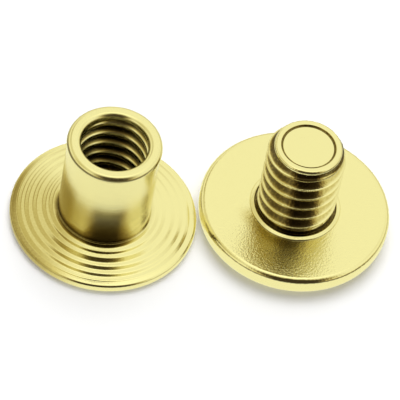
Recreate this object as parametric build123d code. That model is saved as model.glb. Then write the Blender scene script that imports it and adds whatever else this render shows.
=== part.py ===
from build123d import *
import os
from math import radians, tan

# A binding barrel screw, shown as its two loose halves. Each half stands on its own round head,
# with its axis upright: the barrel half is a thin ringed flange with a threaded tube, the screw
# half is a thicker plain head with a threaded shank that fits the tube. All sizes are in
# millimetres. The two axes stand on the X line, the barrel at -X and the screw at +X, and the
# heads rest on the plane Z = 0, with the origin under the middle of the pair.

# Thread that both halves share: 60 degree form, right hand, 32 turns to the inch
thread_pitch = 25.4 / 32
flank_angle = 30.0
thread_radius = 2.05
thread_depth = 0.48
crest_width = 0.10
# Room between the two threads when the halves are screwed together
crest_clearance = 0.07
flank_clearance = 0.045
# A ridge starts this far inside the wall that carries it
ridge_seat = 0.05

# Barrel half
flange_radius = 4.86
rim_thickness = 0.36
rim_foot_bevel = 0.20
rim_top_bevel = 0.12
bevel_width = 0.28
bevel_rise = 0.05
# Inner face of the flange: short slopes between level rings, with the outermost slope's middle
# this far in from the rim and the innermost one's this far out from the tube
rim_band = 0.46
ring_count = 5
ring_slope_run = 0.24
hub_band = 0.38
hub_thickness = 0.96
# The tube's wall outside the bottom of the thread grooves
tube_wall = 0.28
barrel_length = 6.32
lip_bulge = 0.03
lip_flare = 0.02
lip_height = 0.34
lip_bevel = 0.12
# How far the inner ridges reach in past the screw's thread radius
inner_bite = 0.33
mouth_bevel = 0.25
floor_thickness = 0.90
plain_bottom = 0.50

# Screw half: its head is this much wider than the flange, and its shank ends this far below
# the height of the barrel's mouth
head_overhang = 0.14
shank_shortfall = 0.12
head_thickness = 1.30
head_edge_round = 0.30
head_foot_round = 0.72
collar_step = 0.22
collar_height = 0.14
neck_length = 0.30
tip_step = 0.11
tip_land = 0.15
tip_bevel = 0.06
recess_rim = 0.34
recess_depth = 0.12
slot_width = 1.20
slot_length = 6.00
slot_depth = 0.60
# Direction about Z in which the ridge starts at the height of the head's face
thread_start_angle = -16.0

# Room between the two heads where they stand side by side
head_gap = 0.10

head_radius = flange_radius + head_overhang
screw_length = barrel_length - shank_shortfall
core_radius = thread_radius - thread_depth
groove_radius = thread_radius + crest_clearance
minor_radius = thread_radius - inner_bite
mouth_radius = minor_radius + mouth_bevel
tube_radius = groove_radius + tube_wall
collar_radius = thread_radius + collar_step
tip_radius = core_radius + tip_step
recess_radius = tip_radius - recess_rim
axis_distance = flange_radius + head_gap + head_radius
barrel_x = flange_radius - (2 * flange_radius + head_gap + 2 * head_radius) / 2
screw_x = barrel_x + axis_distance


# The wanted corner round, or the largest that the two straight sides of the corner leave room for
def round_that_fits(before, corner, after, wanted):
    sides = [Vector(*before) - Vector(*corner), Vector(*after) - Vector(*corner)]
    turn = 180 - sides[0].get_angle(sides[1])
    if wanted == 0 or turn < 0.1:
        return 0
    room = 0.48 * min(side.length for side in sides)
    return min(wanted, room / tan(radians(turn / 2)))


# A solid turned about the Z axis from its outline, a list of (radius, height, corner round)
def turned(outline):
    spots = [(radius, height) for radius, height, _ in outline]
    rounds = []
    for place, (_, _, wanted) in enumerate(outline):
        after = spots[(place + 1) % len(spots)]
        rounds.append(round_that_fits(spots[place - 1], spots[place], after, wanted))
    edge = FilletPolyline([(x, 0, z) for x, z in spots], radius=rounds, close=True)
    return revolve(make_face(edge), axis=Axis.Z)


# How much wider a thread ridge gets over a radial step, with both its flanks
def flank_spread(radial_step):
    return 2 * radial_step * tan(radians(flank_angle))


# One helical ridge about Z, a trapezium that stands outward or inward on its root radius
def thread_ridge(root_radius, root_width, crest_radius, top_width, low, high):
    path = Pos(0, 0, low) * Helix(thread_pitch, high - low, root_radius)
    start = Plane(origin=path @ 0, x_dir=(1, 0, 0), z_dir=path % 0)
    rise = crest_radius - root_radius
    corners = [
        (0, -root_width / 2),
        (rise, -top_width / 2),
        (rise, top_width / 2),
        (0, root_width / 2),
    ]
    section = start * make_face(Polyline(*corners, close=True))
    return sweep(section, path=path, is_frenet=True)


# Inner face of the flange, from the rim inward: level rings, each a short slope above the last
def ring_corners():
    outer_slope = flange_radius - rim_band
    inner_slope = tube_radius + hub_band
    spacing = (outer_slope - inner_slope) / (ring_count - 1)
    first_level = rim_thickness + rim_top_bevel + bevel_rise
    rise = (hub_thickness - first_level) / ring_count
    corners = []
    for ring in range(ring_count):
        middle = outer_slope - ring * spacing
        level = first_level + ring * rise
        corners.append((middle + ring_slope_run / 2, level, 0))
        corners.append((middle - ring_slope_run / 2, level + rise, 0))
    return corners


# Flange, tube and slightly flared lip, with the hole bored to the bottom of the thread grooves
def barrel_blank():
    rim_top = rim_thickness + rim_top_bevel
    thread_floor = floor_thickness + plain_bottom
    lip_start = barrel_length - lip_height
    lip_foot_radius = tube_radius + lip_bulge
    lip_radius = lip_foot_radius + lip_flare
    return turned(
        [
            (0, 0, 0),
            (flange_radius - rim_foot_bevel, 0, 0),
            (flange_radius, rim_foot_bevel, 0),
            (flange_radius, rim_thickness, 0),
            (flange_radius - rim_top_bevel, rim_top, 0),
            (flange_radius - bevel_width, rim_top + bevel_rise, 0),
            *ring_corners(),
            (tube_radius, hub_thickness, 0),
            (tube_radius, lip_start, 0),
            (lip_foot_radius, lip_start + lip_bulge, 0),
            (lip_radius, barrel_length - lip_bevel, 0),
            (lip_radius - lip_bevel, barrel_length, 0),
            (groove_radius, barrel_length, 0),
            (groove_radius, thread_floor + groove_radius - minor_radius, 0),
            (minor_radius, thread_floor, 0),
            (minor_radius, floor_thickness, 0),
            (0, floor_thickness, 0),
        ]
    )


# Everything above the barrel's end, with the 45 degree cone that opens its mouth
def mouth_cutter():
    above = barrel_length + thread_pitch
    return turned(
        [
            (0, barrel_length - mouth_radius, 0),
            (mouth_radius, barrel_length, 0),
            (tube_radius, barrel_length, 0),
            (tube_radius, above, 0),
            (0, above, 0),
        ]
    )


def make_barrel():
    # the screw's groove at the crest of the inner ridge, less the room on both flanks
    groove_width = thread_pitch - crest_width - flank_spread(thread_radius - minor_radius)
    top_width = groove_width - 2 * flank_clearance
    seat_radius = groove_radius + ridge_seat
    seat_width = top_width + flank_spread(seat_radius - minor_radius)
    low = floor_thickness + plain_bottom
    high = barrel_length + thread_pitch / 2
    ridge = thread_ridge(seat_radius, seat_width, minor_radius, top_width, low, high)
    return barrel_blank() + (ridge - mouth_cutter())


# Head, collar, plain core and cupped tip, before the thread
def screw_blank():
    tip_start = screw_length - tip_land
    cup_floor = screw_length - recess_depth
    collar_top = head_thickness + collar_height
    return turned(
        [
            (0, 0, 0),
            (head_radius, 0, head_foot_round),
            (head_radius, head_thickness, head_edge_round),
            (collar_radius, head_thickness, 0),
            (collar_radius, collar_top, 0),
            (core_radius, collar_top, 0),
            (core_radius, tip_start - tip_radius + core_radius, 0),
            (tip_radius, tip_start, 0),
            (tip_radius, screw_length - tip_bevel, 0),
            (tip_radius - tip_bevel, screw_length, 0),
            (recess_radius, screw_length, 0),
            (recess_radius, cup_floor, 0),
            (0, cup_floor, 0),
        ]
    )


# The space the thread may fill: it fades in above the neck and out at the tip, both at 45 degrees
def thread_room():
    outside = thread_radius + ridge_seat
    neck_top = head_thickness + neck_length
    tip_start = screw_length - tip_land
    return turned(
        [
            (0, neck_top, 0),
            (core_radius, neck_top, 0),
            (outside, neck_top + outside - core_radius, 0),
            (outside, tip_start - outside + tip_radius, 0),
            (tip_radius, tip_start, 0),
            (0, tip_start, 0),
        ]
    )


def make_screw():
    seat_radius = core_radius - ridge_seat
    seat_width = crest_width + flank_spread(thread_radius - seat_radius)
    ridge = thread_ridge(
        seat_radius, seat_width, thread_radius, crest_width, head_thickness, screw_length
    )
    ridge = Rot(0, 0, thread_start_angle) * ridge & thread_room()
    slot = extrude(SlotOverall(slot_length, slot_width), slot_depth)
    return screw_blank() + ridge - slot


os.makedirs("parts", exist_ok=True)
export_step(Pos(barrel_x, 0, 0) * make_barrel(), "parts/barrel.step")
export_step(Pos(screw_x, 0, 0) * make_screw(), "parts/screw.step")
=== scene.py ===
import math

import bmesh
import bpy
import numpy as np
from mathutils import Matrix, Vector


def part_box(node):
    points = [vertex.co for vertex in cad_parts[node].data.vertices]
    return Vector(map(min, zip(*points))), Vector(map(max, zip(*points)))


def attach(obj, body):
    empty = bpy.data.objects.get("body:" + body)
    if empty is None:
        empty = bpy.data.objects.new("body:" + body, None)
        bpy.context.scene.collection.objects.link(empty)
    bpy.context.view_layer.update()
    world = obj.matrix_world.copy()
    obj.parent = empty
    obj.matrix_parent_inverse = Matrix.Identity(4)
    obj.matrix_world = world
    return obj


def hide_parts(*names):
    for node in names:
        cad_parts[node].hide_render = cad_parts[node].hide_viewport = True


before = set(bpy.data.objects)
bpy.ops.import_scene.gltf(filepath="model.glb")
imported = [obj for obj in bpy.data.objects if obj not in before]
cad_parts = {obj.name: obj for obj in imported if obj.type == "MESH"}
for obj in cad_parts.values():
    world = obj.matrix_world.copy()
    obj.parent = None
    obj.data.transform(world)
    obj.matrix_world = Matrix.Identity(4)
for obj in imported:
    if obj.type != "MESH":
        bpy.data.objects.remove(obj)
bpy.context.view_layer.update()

mm = 0.001
turn = 2 * math.pi
slack = 0.01  # millimetres that a point may lie past a limit and still count as inside it
mergeDistance = 1.5e-7  # metres
sliverLength = 1e-8


# X of a CAD node's own axis in millimetres: the middle of its box, to the hundredth
def axisOf(node):
    low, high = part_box(node)
    return round((low.x + high.x) / 2 / mm, 2)


# thread that both halves share: right hand, 32 turns to the inch
threadPitch = 25.4 / 32

# barrel half: ringed flange, tube, rolled lip and threaded hole, all in millimetres. A side of the
# piece is an azimuth, then how far from it a painted shade is still full and where it ends, in
# degrees
barrelSet = {
    "axisX": axisOf("barrel"),
    "segments": 180,
    "flangeRadius": 4.86,
    "rimTop": 0.53,
    "rimEdgeRound": 0.15,
    "rimFootRound": 0.28,
    "bevelWidth": 0.31,
    "bevelRise": 0.05,
    "slopeMiddles": (4.40, 4.02, 3.60, 3.12, 2.78),
    "slopeRun": 0.20,
    "ringRound": 0.20,
    "hubThickness": 0.96,
    "tubeRadius": 2.40,
    "tubeFootRound": 0.10,
    "footPaintedShade": 0.72,  # painted shade in the corner between flange and tube
    "footLeast": 0.1,  # share of it on the lit side
    "footSide": (-130.0, 53.1, 84.3),
    "footOnFlange": (2.44, 2.70),  # radii where it is full and where it ends
    "footOnTube": (1.05, 1.75),  # heights where it is full and where it ends
    "footClimb": 1.1,  # how much further up the tube it ends on its darkest side
    "climbSide": (-90.0, 18.2, 33.9),
    "paintedTubeReflection": 0.38,  # painted dark reflection on one side of the tube
    "smearSide": (-168.0, 11.5, 32.9),
    "smearHeights": (3.4, 4.7),
    # painted dark reflection on one side of the flange, growing towards the rim
    "paintedFlangeReflection": 0.20,
    "flangeSide": (-168.0, 18.2, 63.3),
    "paintedRimReflection": 0.40,
    "rimBand": (4.42, 4.62),  # radii where the rim's share starts and is full
    "paintedFrontReflection": 0.21,  # painted dark reflection round the front of the tube
    "beltSide": (-93.0, 11.5, 25.8),
    "beltHeight": 3.30,
    "beltHalf": 0.75,
    "length": 6.32,
    "lipBulge": 0.05,
    "lipHeight": 0.34,
    "lipRound": 0.26,
    "lipFootRound": 0.04,
    "mouthRound": 0.36,
    "minorRadius": 1.72,
    "grooveRadius": 2.12,
    "crestWidth": 0.223,
    "flankSlope": 1.732,  # radial step for each millimetre along the axis
    "formBlend": 0.035,  # softness where the flanks meet crest and root
    # heights of the mesh rows on each side of a crest's middle
    "formRows": (0.05, 0.085, 0.10, 0.11, 0.12, 0.13, 0.15, 0.18, 0.22, 0.26, 0.30, 0.34, 0.38),
    "threadFloor": 1.40,
    "threadTop": 6.05,
    "runIn": 0.30,  # height over which the grooves start above the thread's floor
    "runOut": 0.45,
    "paintedGrooveShade": (0.05, 0.17),  # depths below the crests where the painted shade starts and is full
    "boreFloor": 0.90,
    "boreRound": 0.08,
    "crestHeight": 1.40,  # height of an inner crest at azimuth crestAzimuth
    "crestAzimuth": 0.0,
}

# screw half: head, collar, threaded shank and cupped tip, all in millimetres
screwSet = {
    "axisX": axisOf("screw"),
    "segments": 180,
    "headRadius": 5.0,
    "headThickness": 1.30,
    "headEdgeRound": 0.30,
    "headFootRound": 0.72,
    "flatInset": 0.02,  # how far inside its round the flat foot is joined on
    "beadOutside": 2.38,
    "beadInside": 2.13,
    "beadRise": 0.06,  # height of the bead's outer foot; its top slopes up inward from there
    "beadHeight": 0.14,
    "beadLean": 0.03,
    "beadInnerLean": 0.02,
    "beadEdgeRound": 0.03,
    "beadTopRound": 0.04,
    "smallRound": 0.02,
    "trenchHeight": 0.02,
    "shoulderRadius": 1.95,
    "neckTop": 1.60,
    "trenchFade": 0.08,  # height over which the trench's painted shade ends, below the neck's top
    "valleyShadeLeast": 0.25,  # share of the valleys' painted shade on the lit side
    "valleyShadeSide": (-165.0, 60.0, 101.5),
    "paintedTopShade": (0.10, 0.40),  # shares of the thread's depth where its painted shade starts and is full
    "paintedUnderShade": 0.32,  # share of that painted shade on the underside of the ridge
    "underBand": (0.015, 0.05),
    "tipShade": (0.10, 0.16),  # depths below the tip's land where a dark band is full and ends
    "tipShadeStart": 0.02,  # depth over which it starts
    "paintedHeadReflection": 0.30,  # painted dark reflection on the head, close to the collar
    "cloudSide": (-135.0, 18.2, 45.6),
    "cloudBand": (2.4, 3.3),
    "coreRadius": 1.57,
    "threadRadius": 2.05,
    "crestLand": 0.02,  # height of the crest's upright face
    "crestFacet": 0.016,  # height of the shallow facet on top of the crest
    "facetSlope": 3.73,  # radial step for each millimetre along the axis
    "flankSlope": 1.43,
    "underCurve": 3.5,  # radial step for each square millimetre below the crest
    "formBlend": 0.012,
    "rootBlend": 0.10,
    # heights of the mesh rows below and above a crest
    "rowsBelow": (-0.37, -0.30, -0.24, -0.18, -0.13, -0.09, -0.065, -0.045, -0.03, -0.02)
    + (-0.01, -0.004),
    "rowsAbove": (0.0, 0.005, 0.010, 0.016, 0.022, 0.035, 0.06, 0.09, 0.12, 0.15, 0.18, 0.21)
    + (0.24, 0.27, 0.30, 0.32, 0.345, 0.375),
    "startSlope": 1.2,  # radial step for each millimetre, where the thread starts over the neck
    "endSlope": 0.9,  # the same where it ends below the tip's land
    "length": 6.20,
    "tipRadius": 1.76,
    "tipLand": 0.17,
    "tipRound": 0.14,
    "tipFoot": 0.05,
    "recessRadius": 1.41,
    "recessDepth": 0.12,
    "recessRound": 0.06,
    "recessLean": 0.03,
    "recessFootRound": 0.03,
    "recessTrench": 0.05,
    "trenchWidth": 0.10,
    "trenchRound": 0.05,
    # painted shade in the cup's narrow trench
    "paintedRecessShade": 0.65,
    "recessInset": 0.04,  # how far inside the recess's wall its trench of painted shade lies
    "recessBand": (0.04, 0.07),  # distances from there where it is full and where it ends
    "slotWidth": 1.20,
    "slotLength": 6.00,
    "slotDepth": 0.60,
    "slotRings": (12, 4, 13),  # mesh rings in the slot's roof, down its wall and round its outline
    "slotStep": 0.01,  # height from the roof to the wall's first ring
    "crestHeight": 3.51,
    "crestAzimuth": -93.6,
}

# camera fitted to the photograph, in millimetres and degrees
cameraSet = {
    "target": (0.172, 1.25, 0.0),
    "elevation": 51.45,
    "azimuth": -103.62,  # direction from the target to the camera
    "distance": 193.1,
    "roll": 11.4,
    "lens": 332.2,
    "sensor": 36.0,
    "clipStart": 1.0,
}


# Corner list (radius, height, round) to one smooth profile: straight runs with a few close
# points at their ends, joined by arcs. Two rounds that share a side too short for both shrink
# alike, until they take up sideShare of it
def roundedProfile(corners, arcStep=9.0, runStep=0.12, endStep=0.012, sideShare=0.98):
    spots = np.array([corner[:2] for corner in corners], float)
    sides = np.diff(spots, axis=0)
    lengths = np.linalg.norm(sides, axis=1)
    ways = sides / lengths[:, None]
    halves = np.arccos(np.clip(-np.sum(ways[:-1] * ways[1:], axis=1), -1, 1)) / 2
    rounds = np.array([corner[2] for corner in corners[1:-1]])
    reaches = np.concatenate([[0], rounds / np.tan(halves), [0]])
    crowded = sideShare * lengths / np.maximum(reaches[:-1] + reaches[1:], 1e-9)
    crowded = np.minimum(crowded, 1)
    reaches[:-1] *= crowded
    reaches[1:] *= crowded
    parts = []
    last = spots[0]
    for place in range(1, len(spots)):
        spot, stop = spots[place], spots[place]
        arc = np.zeros((0, 2))
        if reaches[place] > 0:
            half, reach = halves[place - 1], reaches[place]
            radius = reach * math.tan(half)
            toward = ways[place] - ways[place - 1]
            centre = spot + toward / np.linalg.norm(toward) * radius / math.sin(half)
            first = spot - ways[place - 1] * reach - centre
            final = spot + ways[place] * reach - centre
            start = math.atan2(first[1], first[0])
            sweep = (math.atan2(final[1], final[0]) - start + math.pi) % turn - math.pi
            count = max(3, int(abs(math.degrees(sweep)) / arcStep) + 2)
            angles = start + sweep * np.linspace(0, 1, count)
            arc = centre + radius * np.stack([np.cos(angles), np.sin(angles)], 1)
            stop = arc[0]
        run = stop - last
        length = np.linalg.norm(run)
        if length > 1e-9:
            near = min(endStep, length / 3)
            middle = np.linspace(near, length - near, max(2, int(length / runStep) + 1))
            steps = np.concatenate([[0], middle, [length]])
            parts.append(last + run * steps[:, None] / length)
        if len(arc):
            parts.append(arc)
        last = arc[-1] if len(arc) else spot
    line = np.concatenate(parts)
    keep = np.concatenate([[True], np.linalg.norm(np.diff(line, axis=0), axis=1) > 1e-6])
    return line[keep]


# Faces of a rows by columns grid; the last column joins the first, "lift" rows further on
def gridFaces(rows, columns, lift=0):
    row, column = np.meshgrid(np.arange(rows - 1), np.arange(columns), indexing="ij")
    ahead = (column + 1) % columns
    jump = np.where(ahead == 0, lift, 0)
    quads = np.stack(
        [
            row * columns + column,
            (row + jump) * columns + ahead,
            (row + 1 + jump) * columns + ahead,
            (row + 1) * columns + column,
        ],
        -1,
    )
    inside = (row + 1 + jump) < rows
    return quads[inside].reshape(-1, 4)


# Surface of revolution: x = r cos a, y = r sin a, z = height, for each profile point and angle,
# with the painted shade, 0 to 1, that its last argument gives for radius, height and angle
def turnedSurface(profile, segments, paintedDarkeningAt=None):
    angle = turn * np.arange(segments) / segments
    radius, height = profile[:, :1], profile[:, 1:]
    points = np.stack([radius * np.cos(angle), radius * np.sin(angle), height + 0 * angle], -1)
    paintedDarkening = np.zeros(points.shape[:2])
    if paintedDarkeningAt is not None:
        paintedDarkening = paintedDarkening + paintedDarkeningAt(radius, height, angle)
    return points.reshape(-1, 3), gridFaces(len(profile), segments), paintedDarkening.ravel()


# Helical surface: each row keeps one height above its crest and climbs by a pitch in a turn,
# z = row height + pitch a / 2 pi, held between low and high. The spare turns past both ends fall
# together there, and meshPiece merges them. formAt gives radius and painted shade for a height, the
# height above the nearest crest, and the angle
def threadedSurface(low, high, crestHeight, crestAzimuth, formRows, formAt, segments, spare=2):
    pitch, rows = threadPitch, np.array(formRows)
    firstCrest = crestHeight - pitch * crestAzimuth / 360
    lowest = math.floor((low - firstCrest) / pitch) - spare
    highest = math.ceil((high - firstCrest) / pitch) + spare
    rowHeight = (firstCrest + pitch * np.arange(lowest, highest)[:, None] + rows).ravel()
    angle = turn * np.arange(segments) / segments
    height = np.clip(rowHeight[:, None] + pitch * angle / turn, low, high)
    above = (height - firstCrest - pitch * angle / turn + pitch / 2) % pitch - pitch / 2
    radius, paintedDarkening = formAt(height, above, angle)
    points = np.stack([radius * np.cos(angle), radius * np.sin(angle), height], -1)
    return points.reshape(-1, 3), gridFaces(len(rowHeight), segments, lift=len(rows)), paintedDarkening.ravel()


# Smooth maximum and minimum: (a + b +- root((a - b)^2 + k^2)) / 2
def smoothMax(a, b, k):
    return (a + b + np.sqrt((a - b) ** 2 + k * k)) / 2


def smoothMin(a, b, k):
    return (a + b - np.sqrt((a - b) ** 2 + k * k)) / 2


# Cubic ease from 0 to 1 between two limits: t^2 (3 - 2 t)
def ease(value, start, end):
    t = np.clip((value - start) / (end - start), 0, 1)
    return t * t * (3 - 2 * t)


# 1 on one side of a piece, easing to 0 away from it; side is azimuth, full and end in degrees
def onSide(angle, side):
    azimuth, full, end = (math.radians(degrees) for degrees in side)
    return ease(np.cos(angle - azimuth), math.cos(end), math.cos(full))


# One closed mesh object from several surfaces in millimetres, joined where their edges meet
def meshPiece(name, surfaces, axisX):
    points, faces, paintedShadeAndReflection, offset = [], [], [], 0
    for spots, quads, dark in surfaces:
        points.append(spots + np.array([axisX, 0, 0]))
        faces.append(quads + offset)
        paintedShadeAndReflection.append(dark)
        offset += len(spots)
    points = np.concatenate(points) * mm
    faces = np.concatenate(faces)
    mesh = bpy.data.meshes.new(name)
    mesh.from_pydata(points.tolist(), [], faces.tolist())
    # each point keeps its painted shade or painted dark reflection, 0 to 1, which darkens the
    # brass's colour
    layer = mesh.attributes.new("paintedShadeAndReflection", "FLOAT", "POINT")
    layer.data.foreach_set("value", np.concatenate(paintedShadeAndReflection).astype(np.float32))
    work = bmesh.new()
    work.from_mesh(mesh)
    bmesh.ops.remove_doubles(work, verts=work.verts, dist=mergeDistance)
    bmesh.ops.dissolve_degenerate(work, edges=work.edges, dist=sliverLength)
    bmesh.ops.recalc_face_normals(work, faces=work.faces)
    openEdges = sum(not edge.is_manifold for edge in work.edges)
    work.to_mesh(mesh)
    work.free()
    mesh.shade_smooth()
    piece = bpy.data.objects.new(name, mesh)
    bpy.context.scene.collection.objects.link(piece)
    triangles = sum(len(face.vertices) - 2 for face in mesh.polygons)
    print(f"{name}: {triangles} triangles, {openEdges} open edges")
    return piece


# Flange, tube and lip from the middle of the foot up and over to the mouth, then the hole
def barrelHalf():
    s = barrelSet
    level = s["rimTop"] + s["bevelRise"]
    rise = (s["hubThickness"] - level) / len(s["slopeMiddles"])
    rings = []
    for step, middle in enumerate(s["slopeMiddles"]):
        rings.append((middle + s["slopeRun"] / 2, level + step * rise, s["ringRound"]))
        rings.append((middle - s["slopeRun"] / 2, level + (step + 1) * rise, s["ringRound"]))
    lipRadius = s["tubeRadius"] + s["lipBulge"]
    lipStart = s["length"] - s["lipHeight"]
    outside = roundedProfile(
        [
            (0, 0, 0),
            (s["flangeRadius"], 0, s["rimFootRound"]),
            (s["flangeRadius"], s["rimTop"], s["rimEdgeRound"]),
            (s["flangeRadius"] - s["bevelWidth"], level, s["ringRound"]),
            *rings,
            (s["tubeRadius"], s["hubThickness"], s["tubeFootRound"]),
            (s["tubeRadius"], lipStart, s["lipFootRound"]),
            (lipRadius, lipStart + s["lipBulge"], s["lipFootRound"]),
            (lipRadius, s["length"], s["lipRound"]),
            (s["minorRadius"], s["length"], s["mouthRound"]),
            (s["minorRadius"], s["threadTop"], 0),
        ]
    )
    bottom = roundedProfile(
        [
            (s["minorRadius"], s["threadFloor"], 0),
            (s["minorRadius"], s["boreFloor"], s["boreRound"]),
            (0, s["boreFloor"], 0),
        ]
    )

    # the wall is at the groove's radius, with inward ridges that fade out into both ends
    def wallForm(height, above, angle):
        blend = s["formBlend"]
        groove = s["minorRadius"] + (np.abs(above) - s["crestWidth"] / 2) * s["flankSlope"]
        wall = smoothMin(smoothMax(groove, s["minorRadius"], blend), s["grooveRadius"], blend)
        cut = ease(height, s["threadFloor"], s["threadFloor"] + s["runIn"])
        cut = cut * (1 - ease(height, s["threadTop"] - s["runOut"], s["threadTop"]))
        depth = (wall - s["minorRadius"]) * cut
        # painted shade deep in the grooves
        return s["minorRadius"] + depth, ease(depth, *s["paintedGrooveShade"])

    thread = threadedSurface(
        s["threadFloor"],
        s["threadTop"],
        s["crestHeight"],
        s["crestAzimuth"],
        [-row for row in reversed(s["formRows"])] + [0.0, *s["formRows"]],
        wallForm,
        s["segments"],
    )

    # painted shade in the corner between flange and tube, fading up the tube and out over the
    # flange, with a lighter painted dark reflection on one side of both and a belt of it round the
    # front of the tube
    def outsideShadeAndReflection(radius, height, angle):
        upper = height > s["hubThickness"] - 2 * slack
        tube = (radius < s["tubeRadius"] + slack) * upper
        full, end = s["footOnTube"]
        climb = s["footClimb"] * onSide(angle, s["climbSide"])
        footOnTube = tube * ease(height, end + climb, full)
        full, end = s["footOnFlange"]
        hub = (radius > s["tubeRadius"]) * upper * (height < s["length"] / 2)
        footOnFlange = hub * ease(radius, end, full)
        footShare = s["footLeast"] + (1 - s["footLeast"]) * onSide(angle, s["footSide"])
        foot = s["footPaintedShade"] * footShare * np.maximum(footOnTube, footOnFlange)
        full, end = s["smearHeights"]
        paintedTubeReflection = s["paintedTubeReflection"] * tube * ease(height, end, full) * onSide(angle, s["smearSide"])
        flange = (radius > s["tubeRadius"] + slack) * (height < s["hubThickness"] + slack)
        toRim = s["paintedFlangeReflection"] + (s["paintedRimReflection"] - s["paintedFlangeReflection"]) * ease(radius, *s["rimBand"])
        paintedFlangeReflection = flange * toRim * onSide(angle, s["flangeSide"])
        away = np.abs(height - s["beltHeight"])
        paintedFrontReflection = s["paintedFrontReflection"] * tube * ease(away, s["beltHalf"], 0) * onSide(angle, s["beltSide"])
        return np.maximum(np.maximum(foot, paintedFrontReflection), paintedTubeReflection + paintedFlangeReflection)

    # painted shade, full, over the floor of the hole
    def paintedBoreShade(radius, height, angle):
        return 1.0

    surfaces = [
        turnedSurface(outside, s["segments"], outsideShadeAndReflection),
        thread,
        turnedSurface(bottom, s["segments"], paintedBoreShade),
    ]
    return meshPiece("barrelHalf", surfaces, s["axisX"])


# Outline of the slot, a stadium that is longer along Y, at the directions of the lathe's columns
def slotOutline(angle, length, width):
    reach = (length - width) / 2
    cosine, sine = np.abs(np.cos(angle)), np.abs(np.sin(angle))
    side = width / 2 / np.maximum(cosine, 1e-9)
    end = reach * sine + np.sqrt(np.maximum((width / 2) ** 2 - (reach * cosine) ** 2, 0))
    return np.where(side * sine <= reach, side, end)


# Underside of the head with the driver slot: rings blend from the slot's outline to a circle
def slottedFoot(circleRadius, s):
    angle = turn * np.arange(s["segments"]) / s["segments"]
    outline = slotOutline(angle, s["slotLength"], s["slotWidth"])
    roofRings, wallRings, footRings = s["slotRings"]
    roof = np.linspace(0, 1, roofRings)[:, None] * outline
    wall = np.repeat(outline[None, :], wallRings, 0)
    share = np.linspace(0, 1, footRings + 1)[1:, None]
    foot = outline * (1 - share) + circleRadius * share
    radius = np.concatenate([roof, wall, foot])
    heights = [
        np.full(roofRings, s["slotDepth"]),
        np.linspace(s["slotDepth"] - s["slotStep"], 0, wallRings),
        np.zeros(footRings),
    ]
    height = np.concatenate(heights)[:, None] + 0 * angle
    points = np.stack([radius * np.cos(angle), radius * np.sin(angle), height], -1)
    return points.reshape(-1, 3), gridFaces(len(radius), s["segments"]), np.zeros(radius.size)


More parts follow.
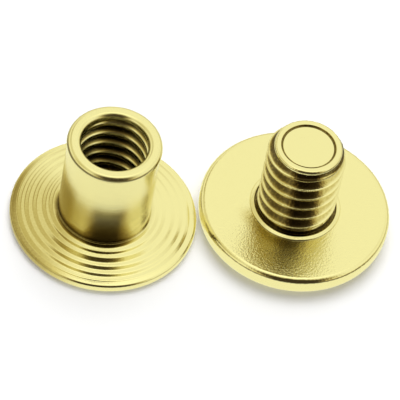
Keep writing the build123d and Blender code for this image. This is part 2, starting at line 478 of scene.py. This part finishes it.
# Head and collar, threaded shank, then the cupped tip
def screwHalf():
    s = screwSet
    face = s["headThickness"]
    neckFloor = face + s["trenchHeight"]
    cupFloor = s["length"] - s["recessDepth"]
    tipStart = s["length"] - s["tipLand"]
    flatRadius = s["headRadius"] - s["headFootRound"] - s["flatInset"]
    head = roundedProfile(
        [
            (flatRadius, 0, 0),
            (s["headRadius"], 0, s["headFootRound"]),
            (s["headRadius"], face, s["headEdgeRound"]),
            (s["beadOutside"], face, s["smallRound"]),
            (s["beadOutside"] - s["beadLean"], face + s["beadRise"], s["beadEdgeRound"]),
            (s["beadInside"] + s["beadInnerLean"], face + s["beadHeight"], s["beadTopRound"]),
            (s["beadInside"], neckFloor, s["smallRound"]),
            (s["shoulderRadius"], neckFloor, s["smallRound"]),
            (s["shoulderRadius"], s["neckTop"], 0),
        ]
    )
    tip = roundedProfile(
        [
            (s["tipRadius"], tipStart, 0),
            (s["tipRadius"], s["length"], s["tipRound"]),
            (s["recessRadius"], s["length"], s["recessRound"]),
            (s["recessRadius"] - s["recessLean"], cupFloor, s["recessFootRound"]),
            (s["recessRadius"] - s["trenchWidth"], cupFloor + s["recessTrench"], s["trenchRound"]),
            (0, cupFloor + s["recessTrench"], 0),
        ]
    )

    # ridges stand on the core; the groove starts at the shoulder over the neck, and the crests
    # are cut back below the land at the tip, where the groove runs out
    def shankForm(height, above, angle):
        blend, facet = s["formBlend"], s["crestFacet"]
        top = np.minimum(above, facet) * s["facetSlope"]
        top = top + np.maximum(above - facet, 0) * s["flankSlope"]
        under = s["underCurve"] * np.minimum(above + s["crestLand"], 0) ** 2
        ridge = s["threadRadius"] - np.where(above > 0, top, under)
        form = smoothMin(ridge, s["threadRadius"], blend)
        form = smoothMax(form, s["coreRadius"], s["rootBlend"])
        climb = s["startSlope"] * (height - s["neckTop"])
        form = smoothMax(form, s["shoulderRadius"] - climb, blend)
        below = tipStart - height
        step = s["tipFoot"] * (1 - ease(below, 0, s["tipFoot"]))
        roof = s["tipRadius"] + s["endSlope"] * below - step
        form = np.minimum(form, np.minimum(roof, s["shoulderRadius"] + climb))
        radius = np.where(height <= s["neckTop"], s["shoulderRadius"], form)
        radius = np.where(height >= tipStart, s["tipRadius"], radius)
        # painted shade in the valleys, strongest on one side, and a painted shadow band under the
        # tip's land
        depth = (s["threadRadius"] - radius) / (s["threadRadius"] - s["coreRadius"])
        upper = ease(depth, *s["paintedTopShade"]) * (above > 0)
        lower = s["paintedUnderShade"] * ease(-above, *s["underBand"])
        full, end = s["tipShade"]
        share = s["valleyShadeLeast"] + (1 - s["valleyShadeLeast"]) * onSide(angle, s["valleyShadeSide"])
        valley = share * np.maximum(upper, lower) * (below > full)
        underTip = ease(below, end, full) * ease(below, 0.0, s["tipShadeStart"])
        return radius, np.maximum(valley, underTip)

    # painted shade in the trench inside the bead, and a lighter painted dark reflection on the face
    # beside the bead
    def headShadeAndReflection(radius, height, angle):
        inside = radius < s["beadInside"] + slack
        trench = inside * ease(height, s["neckTop"], s["neckTop"] - s["trenchFade"])
        onFace = radius > s["beadOutside"] - 2 * slack
        full, end = s["cloudBand"]
        paintedHeadReflection = s["paintedHeadReflection"] * onFace * ease(radius, end, full) * onSide(angle, s["cloudSide"])
        return np.maximum(trench, paintedHeadReflection)

    # painted shade in the cup's narrow trench
    def paintedCupShade(radius, height, angle):
        full, end = s["recessBand"]
        away = np.abs(radius - s["recessRadius"] + s["recessInset"])
        return s["paintedRecessShade"] * ease(away, end, full)

    thread = threadedSurface(
        s["neckTop"],
        tipStart,
        s["crestHeight"],
        s["crestAzimuth"],
        [*s["rowsBelow"], *s["rowsAbove"]],
        shankForm,
        s["segments"],
    )
    foot = slottedFoot(flatRadius, s)
    headSurface = turnedSurface(head, s["segments"], headShadeAndReflection)
    tipSurface = turnedSurface(tip, s["segments"], paintedCupShade)
    return meshPiece("screwHalf", [foot, headSurface, thread, tipSurface], s["axisX"])


# A socket that takes part in Python arithmetic: each operation adds one Math node
class Value:
    def __init__(self, graph, socket):
        self.graph, self.socket = graph, socket

    def math(self, operation, *others):
        node = self.graph.add("ShaderNodeMath", {"operation": operation}, [self, *others])
        return Value(self.graph, node.outputs[0])

    def __add__(self, other):
        return self.math("ADD", other)

    def __radd__(self, other):
        return self.math("ADD", other)

    def __sub__(self, other):
        return self.math("SUBTRACT", other)

    def __rsub__(self, other):
        node = self.graph.add("ShaderNodeMath", {"operation": "SUBTRACT"}, [other, self])
        return Value(self.graph, node.outputs[0])

    def __mul__(self, other):
        return self.math("MULTIPLY", other)

    def __rmul__(self, other):
        return self.math("MULTIPLY", other)

    def __truediv__(self, other):
        return self.math("DIVIDE", other)


# A node tree and the one way to add a node to it: type, settings, then socket values or links
class Graph:
    def __init__(self, tree):
        self.tree = tree
        self.tree.nodes.clear()

    def add(self, kind, settings=None, inputs=None):
        node = self.tree.nodes.new(kind)
        for key, setting in (settings or {}).items():
            if key == "stops":
                ramp = node.color_ramp
                for place, (position, colour) in enumerate(setting):
                    stop = ramp.elements[place] if place < 2 else ramp.elements.new(position)
                    stop.position, stop.color = position, (*colour, 1.0)
            else:
                setattr(node, key, setting)
        pairs = inputs.items() if isinstance(inputs, dict) else enumerate(inputs or [])
        for key, value in pairs:
            if isinstance(value, Value):
                value = value.socket
            if isinstance(value, bpy.types.NodeSocket):
                self.tree.links.new(value, node.inputs[key])
            else:
                node.inputs[key].default_value = value
        return node

    def value(self, kind, settings=None, inputs=None, output=0):
        return Value(self, self.add(kind, settings, inputs).outputs[output])


# clean brass, then brass under more and more painted shade; each half adds its own darkest tone
brassTones = (
    (0.0, (0.93, 0.88, 0.57)),
    (0.25, (0.66, 0.57, 0.26)),
    (0.50, (0.37, 0.29, 0.11)),
)

# what both halves' brass has in common; edges are in millimetres, bump heights in metres
brassSet = {
    "satinEdge": 0.03,
    "roughnessSpread": 0.10,
    "detail": 3.0,
    "grainRoughness": 0.55,
    "grainHeight": 0.00003,
    "lineScale": 8000.0,
    "lineHeight": 0.00002,
}

# Polish of each region, by radius and height in millimetres: roughness, grain and turning lines
barrelBrass = {
    "paintedShadeColours": (*brassTones, (1.0, (0.05, 0.04, 0.02))),
    "paintedShadeMottle": 0.6,
    "bodyRoughness": 0.16,
    "satinRoughness": 0.22,
    "satinInside": 2.48,
    "satinAbove": 0.95,
    "grain": 0.06,
    "satinGrain": 0.06,
    "grainScale": 9000.0,
    "lines": 0.16,
}

screwBrass = {
    "paintedShadeColours": (*brassTones, (1.0, (0.12, 0.09, 0.04))),
    "paintedShadeMottle": 1.6,
    "bodyRoughness": 0.10,
    "satinRoughness": 0.17,
    "satinInside": 4.66,
    "satinBelow": 1.33,
    "grain": 0.28,
    "satinGrain": 0.48,
    "grainScale": 8500.0,
    "lines": 0.03,
}


# Pale polished brass. The satin region is the part inside a radius and above or below a height;
# the grain is a fine mottle, and the lines are turning marks that depend on radius and height alone
def brassMaterial(name, axisX, s):
    shared = brassSet
    material = bpy.data.materials.new(name)
    material.use_nodes = True
    g = Graph(material.node_tree)
    place = g.add("ShaderNodeTexCoord").outputs["Object"]
    local = g.value("ShaderNodeMapping", {}, {"Vector": place, "Location": (-axisX * mm, 0, 0)})
    split = g.add("ShaderNodeSeparateXYZ", {}, [local])
    x, y, z = (Value(g, split.outputs[key]) for key in "XYZ")
    radius = (x * x + y * y).math("SQRT")
    scale = shared["lineScale"]
    rings = g.value(
        "ShaderNodeTexNoise",
        {"noise_dimensions": "2D"},
        {
            "Vector": g.value("ShaderNodeCombineXYZ", {}, [radius * scale, z * scale, 0.0]),
            "Scale": 1.0,
            "Detail": shared["detail"],
        },
    )
    grain = g.value(
        "ShaderNodeTexNoise",
        {},
        {
            "Vector": local,
            "Scale": s["grainScale"],
            "Detail": shared["detail"],
            "Roughness": shared["grainRoughness"],
        },
    )
    edge = shared["satinEdge"]
    inner = smoothStep(g, radius, (s["satinInside"] + edge) * mm, (s["satinInside"] - edge) * mm)
    if "satinAbove" in s:
        upper = smoothStep(g, z, (s["satinAbove"] - edge) * mm, (s["satinAbove"] + edge) * mm)
    else:
        upper = smoothStep(g, z, (s["satinBelow"] + edge) * mm, (s["satinBelow"] - edge) * mm)
    satin = inner * upper
    lined = g.add(
        "ShaderNodeBump",
        {},
        {"Strength": s["lines"], "Distance": shared["lineHeight"], "Height": rings},
    )
    mottled = g.add(
        "ShaderNodeBump",
        {},
        {
            "Strength": satin * (s["satinGrain"] - s["grain"]) + s["grain"],
            "Distance": shared["grainHeight"],
            "Height": grain,
            "Normal": lined.outputs[0],
        },
    )
    # the painted shade and dark reflections from the mesh, mottled by the grain, pick the brass's
    # colour
    paintedDarkening = g.value("ShaderNodeAttribute", {"attribute_name": "paintedShadeAndReflection"}, output="Fac")
    paintedShadeAndReflection = paintedDarkening * ((grain - 0.5) * s["paintedShadeMottle"] + 1.0)
    colour = g.add("ShaderNodeValToRGB", {"stops": s["paintedShadeColours"]}, [paintedShadeAndReflection])
    shader = g.add(
        "ShaderNodeBsdfPrincipled",
        {},
        {
            "Base Color": colour.outputs[0],
            "Metallic": 1.0,
            "Roughness": satin * (s["satinRoughness"] - s["bodyRoughness"])
            + (grain - 0.5) * shared["roughnessSpread"]
            + s["bodyRoughness"],
            "Normal": mottled.outputs[0],
        },
    )
    g.add("ShaderNodeOutputMaterial", {}, {"Surface": shader.outputs[0]})
    return material


# Ease from 0 at the first limit to 1 at the second
def smoothStep(g, value, start, end):
    return g.value(
        "ShaderNodeMapRange",
        {"interpolation_type": "SMOOTHSTEP"},
        {"Value": value, 1: start, 2: end, 3: 0.0, 4: 1.0},
    )


openTone = (0.965, 0.945, 0.64)  # what the brass reflects where nothing is dark

# Light tent, round the pair: each dark patch has azimuth, elevation, dark and clear radius in
# degrees, and depth; the tones are what the surroundings send out at each darkness
lightSet = {
    "patches": (
        (-88.6, 44.0, 22.0, 44.5, 1.0),
        (-88.6, 26.0, 22.0, 43.5, 1.0),
        (-88.6, 4.0, 22.0, 43.5, 1.0),
        (138.0, 52.0, 10.0, 28.0, 0.24),
        (-179.0, 48.0, 8.0, 26.0, 0.38),
        (105.0, 42.0, 5.0, 14.0, 0.50),
        (28.0, 45.0, 5.0, 20.0, 0.08),
    ),
    # dark band along the horizon, deepest towards one azimuth
    "bandAzimuth": -115.0,
    "bandDepth": 0.85,
    "bandBackDepth": 0.30,
    "bandTurn": (-0.8, 0.1),  # cosines from its azimuth where it is least and most deep
    "bandLow": 4.0,
    "bandHigh": 24.0,
    "tones": (
        (0.0, openTone),
        (0.30, (0.70, 0.63, 0.30)),
        (0.65, (0.37, 0.285, 0.12)),
        (1.0, (0.05, 0.038, 0.02)),
    ),
    # brighter spots, as azimuth, elevation, core and reach: one that the brass reflects from
    # overhead, and one that lights the floor from high up behind
    "overhead": (76.0, 78.0, 6.0, 24.0),
    "overheadGain": 0.25,
    "floorLight": (76.0, 66.0, 8.0, 42.0),
    "floorGain": 3.9,
    "floorLess": 0.55,  # how much dimmer the rest of the tent is for the floor
}


# Unit vector of an azimuth and an elevation in degrees
def heading(azimuth, elevation):
    a, e = math.radians(azimuth), math.radians(elevation)
    return (math.cos(e) * math.cos(a), math.cos(e) * math.sin(a), math.sin(e))


# 1 inside a round patch of the sky, easing to 0 at its clear radius
def skyPatch(g, direction, azimuth, elevation, core, reach):
    toward = g.value(
        "ShaderNodeVectorMath",
        {"operation": "DOT_PRODUCT"},
        [direction, heading(azimuth, elevation)],
        "Value",
    )
    angle = toward.math("MINIMUM", 1.0).math("ARCCOSINE")
    return smoothStep(g, angle, math.radians(reach), math.radians(core))


# How dark the horizon is in a direction: full on the band's side, little on the far side
def sideDepth(g, direction):
    s = lightSet
    level = g.add("ShaderNodeVectorMath", {"operation": "MULTIPLY"}, [direction, (1, 1, 0)])
    level = g.add("ShaderNodeVectorMath", {"operation": "NORMALIZE"}, [level.outputs[0]])
    toward = g.value(
        "ShaderNodeVectorMath",
        {"operation": "DOT_PRODUCT"},
        [level.outputs[0], heading(s["bandAzimuth"], 0)],
        "Value",
    )
    share = smoothStep(g, toward, *s["bandTurn"])
    return share * (s["bandDepth"] - s["bandBackDepth"]) + s["bandBackDepth"]


# Tent of soft light for what the brass reflects, plain white for the camera, and for the floor a
# white that is brightest high up behind, so that the shadows fall to the front
def makeWorld():
    world = bpy.data.worlds.new("tent")
    bpy.context.scene.world = world
    world.use_nodes = True
    # only rays that leave a surface look the tent up, so that each kind of ray gets its own tone
    world.cycles.sampling_method = "NONE"
    g = Graph(world.node_tree)
    s = lightSet
    direction = g.add("ShaderNodeTexCoord").outputs["Generated"]
    dark = None
    for azimuth, elevation, core, reach, depth in s["patches"]:
        patch = skyPatch(g, direction, azimuth, elevation, core, reach) * depth
        dark = patch if dark is None else dark.math("MAXIMUM", patch)
    split = g.add("ShaderNodeSeparateXYZ", {}, [direction])
    elevation = Value(g, split.outputs["Z"]).math("ARCSINE")
    low = smoothStep(g, elevation, math.radians(s["bandHigh"]), math.radians(s["bandLow"]))
    dark = dark.math("MAXIMUM", low * sideDepth(g, direction))
    tone = g.add("ShaderNodeValToRGB", {"stops": s["tones"]}, [dark])
    overhead = skyPatch(g, direction, *s["overhead"])
    glossy = g.value("ShaderNodeLightPath", output="Is Glossy Ray")
    colour = g.add(
        "ShaderNodeMix", {"data_type": "RGBA"}, {0: glossy, 6: (1, 1, 1, 1), 7: tone.outputs[0]}
    )
    behind = skyPatch(g, direction, *s["floorLight"])
    seen = g.value("ShaderNodeLightPath", output="Is Camera Ray")
    floorPart = (behind * s["floorGain"] - s["floorLess"]) * (1 - glossy) * (1 - seen)
    light = g.add(
        "ShaderNodeBackground",
        {},
        {
            "Color": colour.outputs[2],
            "Strength": overhead * glossy * s["overheadGain"] + floorPart + 1.0,
        },
    )
    g.add("ShaderNodeOutputWorld", {}, {"Surface": light.outputs[0]})


floorSet = {
    "half": 0.4,  # metres
    "matte": 0.90,
    "cameraGlow": 0.08,
    # the brass sees the floor darken outside an ellipse round the pair, in millimetres
    "brightHalfX": 14.0,
    "brightHalfY": 10.0,
    "darkAt": 1.4,  # where the floor is dark, as a multiple of that ellipse
    "darkTone": (0.07, 0.055, 0.03),
}


# Wide white floor that takes the shadows. The camera sees a little glow with them, so that the
# open floor is white. The brass reflects it as the tent's open tone, darker outside an ellipse
# round the pair
def makeFloor():
    s = floorSet
    half = s["half"]
    corners = [(-half, -half, 0), (half, -half, 0), (half, half, 0), (-half, half, 0)]
    mesh = bpy.data.meshes.new("floor")
    mesh.from_pydata(corners, [], [(0, 1, 2, 3)])
    floor = bpy.data.objects.new("floor", mesh)
    bpy.context.scene.collection.objects.link(floor)
    material = bpy.data.materials.new("floorWhite")
    material.use_nodes = True
    g = Graph(material.node_tree)
    rays = g.add("ShaderNodeLightPath")
    seen = Value(g, rays.outputs["Is Camera Ray"])
    matte = g.add("ShaderNodeBsdfDiffuse", {}, {"Color": (s["matte"], s["matte"], s["matte"], 1)})
    white = (1, 1, 1, 1)
    glow = g.add("ShaderNodeEmission", {}, {"Color": white, "Strength": seen * s["cameraGlow"]})
    lit = g.add("ShaderNodeAddShader", {}, [matte.outputs[0], glow.outputs[0]])
    place = g.add("ShaderNodeTexCoord").outputs["Object"]
    split = g.add("ShaderNodeSeparateXYZ", {}, [place])
    x, y = (Value(g, split.outputs[key]) for key in "XY")
    across, along = x / (s["brightHalfX"] * mm), y / (s["brightHalfY"] * mm)
    far = smoothStep(g, (across * across + along * along).math("SQRT"), 1.0, s["darkAt"])
    tone = g.add(
        "ShaderNodeMix",
        {"data_type": "RGBA"},
        {0: far * sideDepth(g, place), 6: (*openTone, 1), 7: (*s["darkTone"], 1)},
    )
    mirrored = g.add("ShaderNodeEmission", {}, {"Color": tone.outputs[2], "Strength": 1.0})
    both = g.add(
        "ShaderNodeMixShader",
        {},
        {0: rays.outputs["Is Glossy Ray"], 1: lit.outputs[0], 2: mirrored.outputs[0]},
    )
    g.add("ShaderNodeOutputMaterial", {}, {"Surface": both.outputs[0]})
    mesh.materials.append(material)


# Camera turned so that its view direction, right and up axes follow azimuth, elevation and roll
def makeCamera():
    s = cameraSet
    roll = math.radians(s["roll"])
    back = Vector(heading(s["azimuth"], s["elevation"]))
    right = Vector((0, 0, 1)).cross(back).normalized()
    up = back.cross(right)
    rolledRight = right * math.cos(roll) + up * math.sin(roll)
    rolledUp = up * math.cos(roll) - right * math.sin(roll)
    place = (Vector(s["target"]) + back * s["distance"]) * mm
    data = bpy.data.cameras.new("camera")
    data.lens, data.sensor_width, data.clip_start = s["lens"], s["sensor"], s["clipStart"] * mm
    camera = bpy.data.objects.new("camera", data)
    columns = Matrix((rolledRight, rolledUp, back)).transposed().to_4x4()
    camera.matrix_world = Matrix.Translation(place) @ columns
    bpy.context.scene.collection.objects.link(camera)
    bpy.context.scene.camera = camera


bpy.context.scene.view_settings.view_transform = "Standard"
makeCamera()
print("camera placed")

barrel = barrelHalf()
screw = screwHalf()
barrel.data.materials.append(brassMaterial("barrelBrass", barrelSet["axisX"], barrelBrass))
screw.data.materials.append(brassMaterial("screwBrass", screwSet["axisX"], screwBrass))
for piece, node, slot in ((barrel, "barrel", "barrel_brass"), (screw, "screw", "screw_brass")):
    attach(piece, "root")
    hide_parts(node)
print("both halves made")

makeWorld()
makeFloor()
print("light and floor set")
